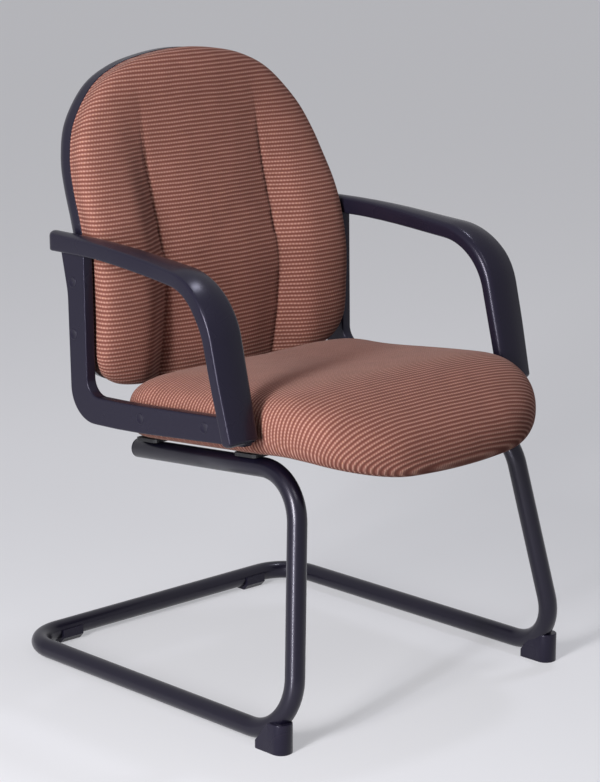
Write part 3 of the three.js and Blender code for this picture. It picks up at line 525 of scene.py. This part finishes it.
def armrest_skin(side):
    """The armrest's section carried along its line, and drawn in to a round at each end.

    The rows crowd towards the ends by one less a cosine, and there the section's width and depth
    shrink about its middle as the height of a circle does.
    """
    route = [[0.0, *place] for place in armrest_route]
    line = rounded(route, armrest_radii, armrest_turn_step)
    length = np.concatenate([[0], np.cumsum(np.linalg.norm(np.diff(line, axis=0), axis=1))])
    full = length[-1]
    ease = 1 - np.cos(np.linspace(0, math.pi / 2, armrest_end_rows)) + armrest_end_gap
    between = np.linspace(armrest_tip, full - armrest_foot, armrest_rows + 2)[1:-1]
    at = np.concatenate([armrest_tip * ease, between, full - armrest_foot * ease[::-1]])
    p = np.stack([np.interp(at, length, line[:, i]) for i in range(3)], -1)
    ahead = np.gradient(p, at, axis=0)
    ahead /= np.linalg.norm(ahead, axis=1)[:, None]
    up = np.stack([np.zeros(len(p)), ahead[:, 2], -ahead[:, 1]], -1)
    outside = smooth_table(armrest_outsides, at / full)
    depth = smooth_table(armrest_depths, at / full)
    width = outside - smooth_table(armrest_insides, at / full)
    u, v = armrest_section(width, depth)
    width, depth = width[:, None], depth[:, None]
    tip_share = np.clip(at / armrest_tip, 0, 1)[:, None]
    foot_share = np.clip((full - at) / armrest_foot, 0, 1)[:, None]
    ends = armrest_tip * drawn_in(tip_share) + armrest_foot * drawn_in(foot_share)
    narrow = 1 - 2 * ends / width
    thin = 1 - tip_thinning * drawn_in(tip_share, power=4) - foot_thinning * drawn_in(foot_share)
    u = width / 2 + (u - width / 2) * narrow
    v = -depth / 2 + (v + depth / 2) * thin
    x = side * (outside[:, None] - u)
    return np.stack([x, p[:, None, 1] + up[:, None, 1] * v, p[:, None, 2] + up[:, None, 2] * v], -1)


sharp = 0.1
loop_corners = [
    [-192.0, 412.5], [50.0, 388.5], [177.5, 383.5], [182.5, 571.0], [195.5, 629.5],
    [183.0, 640.0], [144.0, 640.0], [141.0, 425.0], [50.0, 429.0], [-192.0, 449.0],
]
loop_radii = [sharp, 900.0, 50.0, 90.0, sharp, sharp, sharp, 25.0, 900.0, sharp]
loop_turn_step = 0.1
loop_columns = 420
loop_edge = 2.2
loop_edge_rows = 6


def outline_normals(outline):
    """The outward normal at each point of a closed outline, across its neighbours' line."""
    tangent = np.roll(outline, -1, 0) - np.roll(outline, 1, 0)
    tangent /= np.linalg.norm(tangent, axis=1)[:, None]
    area = np.sum(outline[:, 0] * np.roll(outline[:, 1], -1) - outline[:, 1] * np.roll(outline[:, 0], -1))
    return np.stack([tangent[:, 1], -tangent[:, 0]], -1) * np.sign(area)


def end_faces(rows, columns):
    """The first and the last row of a grid as two polygons that face away from each other."""
    return [list(range(columns))[::-1], list(range((rows - 1) * columns, rows * columns))]


def loop_skin(side):
    """The flat loop's outline, drawn in by a quarter circle at both faces' edges."""
    outline = even_loop(rounded_loop(loop_corners, loop_radii, loop_turn_step), loop_columns)
    outward = outline_normals(outline)
    turns = np.linspace(0, math.pi / 2, loop_edge_rows)
    more, less = loop_edge * (1 - np.sin(turns)), loop_edge * (1 - np.cos(turns))
    insets = np.concatenate([more, less])
    places = np.concatenate([arm_inner + less, arm_outer - more])
    skins = [np.column_stack([np.full(loop_columns, side * x), outline - outward * inset])
             for inset, x in zip(insets, places)]
    return np.array(skins)


def add_arm_loop(name, side):
    """The loop's skin, with a flat polygon on each face."""
    skins = loop_skin(side)
    rows, columns = skins.shape[:2]
    faces = grid_faces(rows, columns).tolist() + end_faces(rows, columns)
    if side > 0:
        faces = [face[::-1] for face in faces]
    smooth = [len(face) == 4 for face in faces]
    add_piece(f"arm_{name}_loop", skins.reshape(-1, 3), faces, smooth, black_plastic,
              f"arm_{name}")


for name, side in both_sides:
    add_skin(f"arm_{name}_moulding", armrest_skin(side), black_plastic, f"arm_{name}")
    add_arm_loop(name, side)


# Bolt caps
# Moulded caps pressed into the counterbores over the arm bolts. Each has a narrow rim that stands a
# hair proud of the arm.
cap_radius = 8.3
cap_depth = 1.5
cap_proud = 0.5
cap_rim_bevel = 0.5
cap_rim_inner = 1.6
cap_dish_inner = 2.2
cap_dish_depth = 0.35
cap_dish = cap_proud - cap_dish_depth
cap_centre = 0.1
cap_sides = 40
bolt_places = {
    "seat_front": (-111.6, 424.9),
    "seat_rear": (23.8, 413.1),
    "back_lower": (170.0, 511.7),
    "back_upper": (170.0, 587.7),
}


def cap_skin(side, y, z):
    """A disc with a raised rim, turned about the bolt's axis: rows of radius and height."""
    profile = np.array([
        [cap_radius, -cap_depth], [cap_radius, 0.0],
        [cap_radius - cap_rim_bevel, cap_proud], [cap_radius - cap_rim_inner, cap_proud],
        [cap_radius - cap_dish_inner, cap_dish], [cap_centre, cap_dish],
    ])
    a = np.linspace(0, 2 * math.pi, cap_sides, endpoint=False)
    radius, height = profile[:, :1], profile[:, 1:]
    x = np.repeat(side * (arm_outer + height), cap_sides, axis=1)
    return np.stack([x, y + radius * np.cos(a), z + radius * np.sin(a)], -1)


for place, (y, z) in bolt_places.items():
    for name, side in both_sides:
        node = f"bolt_cap_{place}_{name}"
        add_skin(f"cap_{place}_{name}", cap_skin(side, y, z), black_plastic, node)


# Seat cushion
# Moulded foam on a plywood board, covered in a ribbed woven upholstery cloth whose ribs run across
# the seat, fold down its sides and roll over the waterfall front.
seat_half_width = 240.0
seat_middle = -95.0
seat_reach_ahead = 359.0
seat_reach_behind = 122.0
seat_ahead_shares = [
    [0, 1], [0.25, 0.995], [0.49, 0.978], [0.69, 0.928], [0.85, 0.848],
    [0.94, 0.75], [0.982, 0.64], [0.997, 0.51], [1, 0.3], [1, 0.1],
]
seat_behind_shares = [
    [1, 0.3], [0.998, 0.52], [0.975, 0.69], [0.91, 0.83], [0.74, 0.94], [0.4, 0.985], [0, 1],
]
seat_row_shares = [
    [0.02, 0], [0.3, 0], [0.6, 0], [0.88, 0], [0.94, 0.02], [0.975, 0.11], [0.994, 0.24], [1, 0.38],
    [0.998, 0.54], [0.985, 0.69], [0.957, 0.81], [0.91, 0.9], [0.84, 0.95], [0.73, 0.98], [0.58, 0.993],
    [0.38, 1], [0.18, 1], [0.01, 1],
]
least_share = 0.004
most_share = 1.01
seat_bottom = 6.2
seat_thickness = 80.0
seat_crown = 7.0
seat_dish = 5.0
seat_dish_radius = 120.0
seat_dish_place = -20.0
seat_droop = 50.0
seat_roll = 54.0
seat_roll_length = 152.0
seat_heel = 6.0
seat_outline_steps = 2000


def spline(table, count, wraps=False):
    """A Catmull-Rom curve through a table's rows, read at evenly spaced places.

    At a share f of the way from row b to row c, between rows a and d, it is
    b + f/2 (c - a + f (2a - 5b + 4c - d + f (3 (b - c) + d - a))).
    """
    rows = np.asarray(table, float)
    last = len(rows) - (0 if wraps else 1)
    at = np.linspace(0, last, count, endpoint=not wraps)
    step = np.minimum(at.astype(int), last - 1)
    f = (at - step)[:, None]
    around = step + np.array([[-1], [0], [1], [2]])
    a, b, c, d = rows[around % len(rows) if wraps else np.clip(around, 0, last)]
    return b + 0.5 * f * (c - a + f * (2 * a - 5 * b + 4 * c - d + f * (3 * (b - c) + d - a)))


def mirrored_loop(half):
    """Closes a half outline, listed from end to end on the left, with its mirror image."""
    half = np.asarray(half, float)
    return np.concatenate([half, half[1:-1][::-1] * [-1.0, 1.0]])


def seat_outline(count):
    """The seat's plan: a curve through its shares, and their mirror image."""
    ahead = [[x * seat_half_width, -y * seat_reach_ahead] for x, y in seat_ahead_shares]
    behind = [[x * seat_half_width, y * seat_reach_behind] for x, y in seat_behind_shares]
    return even_loop(spline(mirrored_loop(ahead + behind), seat_outline_steps, True), count)


def seat_skin(rows, columns):
    """Rings of the seat's outline from the underside, round the bulging side, to the crown.

    Towards the front edge both faces roll down with the square of the distance past the roll's start.
    The top also rises by a crown, one less the square of the ring's share, and dips by a round bell.
    """
    plan, height = spline(seat_row_shares, rows).T
    plan = np.clip(plan, least_share, most_share)[:, None]
    height = np.clip(height, 0, 1)[:, None]
    edge = seat_outline(columns)
    x = plan * edge[None, :, 0]
    y = seat_middle + plan * (edge[None, :, 1] - seat_middle)
    past = np.clip((-y - seat_reach_ahead + seat_roll_length) / seat_roll_length, 0, None) ** 2
    rear = np.clip((y - seat_middle) / (seat_reach_behind - seat_middle), 0, None) ** 2
    top = seat_bottom + seat_thickness - seat_roll * past + seat_heel * rear
    bottom = seat_bottom - seat_droop * past
    dish = np.exp(-((x / seat_dish_radius) ** 2) - ((y - seat_dish_place) / seat_dish_radius) ** 2)
    crown = seat_crown * (1 - plan ** 2) * height - seat_dish * dish * height ** 3
    return np.stack([x, y, bottom + (top - bottom) * height + crown], -1)


def fold(places, drop, normals):
    """Each point's place in the cloth: its flat place, pushed out along the outline's normal.

    Each ring takes more cloth than its flat step wherever the skin drops, so the push is the sum,
    from the middle out, of how much longer the sloping step is than the flat one.
    """
    flat = np.linalg.norm(np.diff(places, axis=0), axis=-1)
    extra = np.hypot(flat, np.diff(drop, axis=0)) - flat
    push = np.concatenate([np.cumsum(extra[::-1], axis=0)[::-1], np.zeros((1, places.shape[1]))])
    return places + push[..., None] * normals[None]


cover_stiffness = 30.0
cover_bending = 2.0
cover_quality = 4
cover_frames = 14
cover_smoothings = 4
nearly_still = 1e-9


def swell(points, pressure, stapled):
    """How far each point of a cover moves as cloth under pressure, with the stapled ones held down."""
    rows, columns = points.shape[:2]
    faces = grid_faces(rows, columns).tolist() + end_faces(rows, columns)
    mesh = bpy.data.meshes.new("cover")
    mesh.from_pydata((points.reshape(-1, 3) * MM).tolist(), [], faces)
    mesh.update()
    cover = bpy.data.objects.new("cover", mesh)
    scene = bpy.context.scene
    scene.collection.objects.link(cover)
    staples = cover.vertex_groups.new(name="stapled")
    staples.add(np.flatnonzero(stapled(points)).tolist(), 1.0, "REPLACE")
    swelling = cover.modifiers.new("cloth", "CLOTH")
    settings = swelling.settings
    settings.use_pressure = True
    settings.uniform_pressure_force = pressure
    settings.vertex_group_mass = "stapled"
    settings.effector_weights.gravity = 0.0
    settings.tension_stiffness = settings.compression_stiffness = cover_stiffness
    settings.bending_stiffness = cover_bending
    settings.quality = cover_quality
    swelling.point_cache.frame_start, swelling.point_cache.frame_end = 1, cover_frames
    for number in range(1, cover_frames + 1):
        scene.frame_set(number)
    swollen = cover.evaluated_get(bpy.context.evaluated_depsgraph_get())
    after = np.zeros(points.size)
    swollen.data.vertices.foreach_get("co", after)
    bpy.data.objects.remove(cover)
    scene.frame_set(1)
    return after.reshape(points.shape) / MM - points


def relax(points, stride, pressure, cap, stapled):
    """Lets a cover swell as cloth, moving no point past the cap.

    Every stride-th row and column of the grid is simulated. How far its points moved is averaged with
    their neighbours' moves, and read smoothly into the whole grid.
    """
    coarse = points[::stride[0], ::stride[1]]
    rows, columns = coarse.shape[:2]
    moved = swell(coarse, pressure, stapled)
    far = np.linalg.norm(moved, axis=-1, keepdims=True)
    moved *= np.minimum(1.0, cap / np.maximum(far, nearly_still))
    for _ in range(cover_smoothings):
        moved = (np.roll(moved, 1, 1) + 2 * moved + np.roll(moved, -1, 1)) / 4
        moved[1:-1] = (moved[:-2] + 2 * moved[1:-1] + moved[2:]) / 4
    along = spline(moved.reshape(rows, -1), points.shape[0]).reshape(-1, columns, 3)
    whole = spline(along.transpose(1, 0, 2).reshape(columns, -1), points.shape[1], True)
    return points + whole.reshape(points.shape[1], -1, 3).transpose(1, 0, 2)


def lay_cloth(piece, weave):
    """Makes each point's place in the cloth the piece's UV map; a fan's tip takes its row's mean."""
    cloth = np.concatenate([weave.reshape(-1, 2), weave[[0, -1]].mean(1)])
    corners = np.zeros(len(piece.data.loops), np.int32)
    piece.data.loops.foreach_get("vertex_index", corners)
    piece.data.uv_layers.new(name="weave").data.foreach_set("uv", cloth[corners].ravel())


rib_spacing = 6.2
stitch_spacing = 4.6
stitch_depth = 0.34
waver_depth = 0.5
crease_offset = 112.0
# Width of the painted shade line drawn along each crease of the back.
crease_shade_width = 3.2
cloth_light = linear(184, 140, 127)
cloth_mid = linear(152, 106, 95)
cloth_dark = linear(112, 69, 61)
cloth_speck = linear(204, 150, 100)
ribbed_cloth = Finish("ribbed_cloth", Sheen_Weight=0.12, Sheen_Roughness=0.4,
                      Sheen_Tint=(1.0, 0.8, 0.72, 1.0), Specular_IOR_Level=0.15)
cloth_place = ribbed_cloth.node("UVMap", {"uv_map": "weave"}, [])
cloth_across = ribbed_cloth.node("SeparateXYZ", {}, [cloth_place], "X")
cloth_along = ribbed_cloth.node("SeparateXYZ", {}, [cloth_place], "Y")

waver = ribbed_cloth.noise(cloth_place, scale=0.012) - 0.5
rib_count = cloth_along * (1 / rib_spacing) + waver * waver_depth
rib_number = (rib_count + 0.5).floor()
rib = rib_count.wave()
stitch = (cloth_across * (1 / stitch_spacing) + rib_number * 0.5).wave()
thread = (rib * (1 - stitch_depth + stitch * stitch_depth)).clamp()

mid_gain, mid_start = 1.15, 0.05
light_gain, light_start = 2.1, 0.55
speck_gain, speck_start, speck_strength = 7.0, 0.6, 0.55
mid_share = (thread * mid_gain - mid_start).clamp()
light_share = ((thread - light_start) * light_gain).clamp()
fleck = ribbed_cloth.noise(cloth_place, scale=0.55, detail=1.0)
speck_share = ((fleck - speck_start) * speck_gain).clamp() * rib * speck_strength
thread_colour = ribbed_cloth.mix(mid_share, cloth_dark, cloth_mid)
thread_colour = ribbed_cloth.mix(light_share, thread_colour, cloth_light)
thread_colour = ribbed_cloth.mix(speck_share, thread_colour, cloth_speck)

# The last of these sets how much the painted crease shade darkens the cloth.
darkest_tone, mottle_tone, yarn_tone, crease_shade_strength = 0.72, 0.32, 0.26, 0.65
yarn = ribbed_cloth.noise(cloth_place, scale=0.42, roughness=0.6)
mottle = ribbed_cloth.noise(cloth_place, scale=0.03, detail=3.0, roughness=0.55)
# Painted shade: a thin dark line is drawn into the cloth's colour along each crease, where shade falls in
# the fold. The attribute sets its strength.
crease_shade_mask = ribbed_cloth.node("Attribute", {"attribute_name": "crease_shade"}, [], "Fac")
crease_shade_line = (1.0 - abs(abs(cloth_across) - crease_offset) * (1 / crease_shade_width)).clamp() * crease_shade_mask
tone = (darkest_tone + mottle * mottle_tone + yarn * yarn_tone) * (1.0 - crease_shade_line * crease_shade_strength)
toned = ribbed_cloth.node("HueSaturation", {}, {"Value": tone, "Color": thread_colour})
ribbed_cloth.feed("Base Color", toned)

groove_roughness, thread_gloss, yarn_relief = 0.95, 0.18, 0.25
cloth_relief = thread + yarn * yarn_relief
ribbed_cloth.feed("Roughness", groove_roughness - thread * thread_gloss)
ribbed_cloth.feed("Normal", ribbed_cloth.bump(cloth_relief, strength=0.5, distance=0.0012))

seat_grid = (109, 360)
seat_stapled_rows = 10


def seat_stapled(points):
    """The underside, which is the grid's first rows, is stapled to the board."""
    stapled = np.zeros(points.shape[:2], bool)
    stapled[:seat_stapled_rows] = True
    return stapled


seat_points = seat_skin(*seat_grid)
seat_normals = outline_normals(seat_outline(seat_grid[1]))
seat_weave = fold(seat_points[..., :2], seat_points[..., 2], seat_normals)
seat_points = relax(seat_points, stride=(3, 4), pressure=3.0, cap=3.0, stapled=seat_stapled)
seat_cover = add_skin("seat_cover", from_seat(seat_points), ribbed_cloth, "seat_cushion")
lay_cloth(seat_cover, seat_weave)


# Back cushion
# Moulded foam on a curved board, covered in the same cloth with level ribs. Two sewn creases divide a
# flat panel from the side bolsters, and fade out into the domed top.
back_bottom = 429.0
back_height = 471.0
back_half_width = 245.0
back_lumbar = 160.0
back_lean = 93.0
back_depth = 43.0
back_middle_share = 0.44
back_middle = back_bottom + back_middle_share * back_height
back_outline_steps = 2400
lip_share = 0.985
back_half_shares = [
    [0, -0.018], [0.3, -0.016], [0.52, -0.012], [0.71, -0.005], [0.85, 0.01], [0.943, 0.041],
    [0.99, 0.085], [1, 0.138], [0.998, 0.215], [1.002, 0.41], [0.999, 0.51], [0.98, 0.608],
    [0.938, 0.708], [0.851, 0.806], [0.67, 0.908], [0.469, 0.962], [0.245, 0.989], [0, 1],
]
lean_shares = [0.086, 0, 0, 0.2, 0.565, 0.85, 1]
crease_shares = [0.3, 0.36, 0.43, 0.38, 0.69, 0.95, 1]
panel_shares = [0.45, 0.5, 0.56, 0.53, 0.8, 1, 1.04]
pad_row_shares = [
    [0.5, 0], [0.8, 0], [0.95, 0], [lip_share, 0.0], [0.987, 0.12], [0.995, 0.3], [1, 0.5],
    [0.996, 0.65], [0.982, 0.78], [0.956, 0.875], [0.915, 0.945], [0.86, 0.985], [0.79, 1],
    [0.69, 1], [0.57, 1], [0.44, 1], [0.3, 1], [0.15, 1], [0.01, 1],
]
profile_steps = 601
crease_width = 36.0
crease_nip = 4.0
nip_width = 6.0
nip_gain = 3.0
weave_overrun = 60.0
weave_steps = 900


def read_profile(shares, z):
    """A smooth profile up the back, from shares at evenly spaced heights."""
    at = np.clip((z - back_bottom) / back_height, 0, 1)
    fine = spline(np.array(shares)[:, None], profile_steps)[:, 0]
    return np.interp(at, np.linspace(0, 1, profile_steps), fine)


def rim_line(z):
    """How far behind the sled's middle the pad's rim lies: the lumbar's place plus its lean."""
    return back_lumbar + back_lean * read_profile(lean_shares, z)


def pad_rise(x, z):
    """How far the pad's face stands ahead of the rim: creases between a panel and two bolsters.

    It is the crease's depth, plus what the field adds to it times one less a bell about the crease,
    less a narrow nip that is deepest where the field stands well above the crease.
    """
    off = np.abs(x) - crease_offset
    valley = 1 - np.exp(-((off / crease_width) ** 2))
    crease = read_profile(crease_shares, z)
    field = np.where(off > 0, 1.0, read_profile(panel_shares, z))
    nip = crease_nip * np.exp(-((off / nip_width) ** 2)) * np.clip((field - crease) * nip_gain, 0, 1)
    return back_depth * (crease + (field - crease) * valley) - nip


def back_outline(count):
    """The back's outline seen from the front: a curve through its shares, and their mirror image."""
    points = [[x * back_half_width, back_bottom + z * back_height] for x, z in back_half_shares]
    return even_loop(spline(mirrored_loop(points), back_outline_steps, True), count)


def back_rings(shares, margins, columns):
    """The x and z of rings round the back: its outline drawn in to shares of it, then by margins."""
    reach = back_outline(columns)[None] - [0.0, back_middle]
    size = np.linalg.norm(reach, axis=-1, keepdims=True)
    rings = reach * shares[:, None, None] * (1 - margins[:, None, None] / size) + [0.0, back_middle]
    return rings[..., 0], rings[..., 1]


def back_pad(rows, columns):
    """Rings from the board's side, round the bulging edge, to the face, at shares of the pad's rise."""
    share, height = spline(pad_row_shares, rows).T
    height = np.clip(height, 0, 1)[:, None]
    x, z = back_rings(np.clip(share, least_share, 1.0), np.zeros(rows), columns)
    return np.stack([x, rim_line(z) - pad_rise(x, z) * height, z], -1)


def back_weave(skin, normals):
    """Across, and up along the leaning profile, then folded back round the edge."""
    z = np.linspace(back_bottom - weave_overrun, back_bottom + back_height + weave_overrun, weave_steps)
    climb = np.concatenate([[0], np.cumsum(np.hypot(np.diff(z), np.diff(rim_line(z))))])
    places = np.stack([skin[..., 0], np.interp(skin[..., 2], z, climb)], -1)
    height = np.clip(spline(pad_row_shares, len(skin))[:, 1:], 0, 1)
    return fold(places, np.broadcast_to(back_depth * height, skin.shape[:2]), normals)


staple_reach = 9.0


def back_stapled(points):
    """The board's side and the two sewn creases stay down."""
    x, y, z = np.moveaxis(points, -1, 0)
    return (y > rim_line(z) - staple_reach) | (np.abs(np.abs(x) - crease_offset) < staple_reach)


# Painted shade along the creases: how dark the line is at each height. It is darkest at mid height and
# fades to none at the domed top.
crease_shade_heights = [440.0, 560.0, 640.0, 760.0, 830.0]
crease_shade_depths = [0.35, 0.55, 1.0, 0.8, 0.0]
back_grid = (145, 400)
back_points = back_pad(*back_grid)
back_places = back_weave(back_points, outline_normals(back_outline(back_grid[1])))
back_points = relax(back_points, stride=(4, 4), pressure=2.5, cap=2.5, stapled=back_stapled)
back_cover = add_skin("back_cover", back_points, ribbed_cloth, "back_cushion")
lay_cloth(back_cover, back_places)
heights = back_points[..., 2].ravel()
# The painted crease shade's strength at each point of the back cover, stored as a point attribute.
crease_shade = np.zeros(len(back_cover.data.vertices))
crease_shade[:len(heights)] = np.interp(heights, crease_shade_heights, crease_shade_depths)
back_cover.data.attributes.new("crease_shade", "FLOAT", "POINT").data.foreach_set("value", crease_shade)


# Back shell
# The outer back is a moulded plastic shell, screwed to the back board. Its rim hugs the pad's edge,
# and its rear is domed.
shell_wall = 3.0
shell_lip = 1.5
shell_dome = 46.0
shell_gap = 0.3
shell_margin_fade = 3.0
shell_grid = (60, 300)
shell_row_shares = [
    [1, 0, 0], [1, 0.05, 0.1], [1, 0.3, 0.32], [0.998, 1, 0.5], [0.985, 1, 0.6], [0.95, 1, 0.7],
    [0.87, 1, 0.81], [0.7, 1, 0.92], [0.42, 1, 0.985], [0.2, 1, 1], [0.01, 1, 1],
]


def shell_side(wall, rows, columns):
    """Rings from the lip over the rim to the dome's middle, offset inwards by the wall.

    Each ring is a share of the lip's outline less a margin that fades out near the middle, and lies
    behind the rim line by a share of the dome.
    """
    share, draft, depth = spline(shell_row_shares, rows).T
    margin = (wall + draft * shell_wall - shell_lip) * np.clip(share * shell_margin_fade, 0, 1)
    setback = (shell_gap + (shell_dome - wall) * depth)[:, None]
    x, z = back_rings(lip_share * np.clip(share, least_share, 1), margin, columns)
    return np.stack([x, rim_line(z) + setback, z], -1)


shell_points = np.concatenate([shell_side(shell_wall, *shell_grid)[::-1], shell_side(0.0, *shell_grid)])
add_skin("outer_back", shell_points, black_plastic, "back_shell")


# Glides, plugs, boards, plates and fasteners
# Moulded glides and plugs, plywood boards and blocks, steel plates, plated hardware and the felt
# under the seat keep their shape from the CAD, and each gets the finish of what it is made of.
grain_stretch = (4.0, 60.0, 60.0)
plywood = Finish("plywood", Roughness=0.75)
along_grain = plywood.node("Mapping", {}, {"Vector": plywood.place(), "Scale": grain_stretch})
wood_grain = plywood.noise(along_grain, scale=3.0, detail=4.0)
plywood.feed("Base Color", plywood.mix(wood_grain, linear(150, 112, 70), linear(205, 168, 118)))
plywood.feed("Normal", plywood.bump(wood_grain, strength=0.2, distance=0.0005))

zinc_roughness, zinc_spangle_depth = 0.3, 0.2
zinc = Finish("zinc_plate", Metallic=1.0, Base_Color=linear(176, 178, 184))
spangle = zinc.noise(zinc.place(), scale=220.0, detail=3.0)
zinc.feed("Roughness", zinc_roughness + spangle * zinc_spangle_depth)

steel_roughness, steel_wear_depth = 0.4, 0.2
black_steel = Finish("black_steel", Base_Color=linear(26, 26, 29))
steel_wear = black_steel.noise(black_steel.place(), scale=60.0, detail=3.0)
steel_grain = black_steel.noise(black_steel.place(), scale=700.0)
black_steel.feed("Roughness", steel_roughness + steel_wear * steel_wear_depth)
black_steel.feed("Normal", black_steel.bump(steel_grain, strength=0.1, distance=0.0003))

felt = Finish("black_felt", Roughness=1.0)
fibres = felt.noise(felt.place(), scale=800.0, detail=4.0, roughness=0.7)
felt.feed("Base Color", felt.mix(fibres, linear(22, 22, 24), linear(44, 43, 46)))
felt.feed("Normal", felt.bump(fibres, strength=0.4, distance=0.0005))

cad_finishes = {
    "black_tube": black_coat,
    "black_plastic": black_plastic,
    "fabric": ribbed_cloth,
    "plywood": plywood,
    "zinc_steel": zinc,
    "black_steel": black_steel,
    "felt": felt,
}
for part in frame["record"]["subparts"]:
    for slot in frame["nodes"][part["node"]].material_slots:
        slot.material = cad_finishes[part["material_slot"]].material
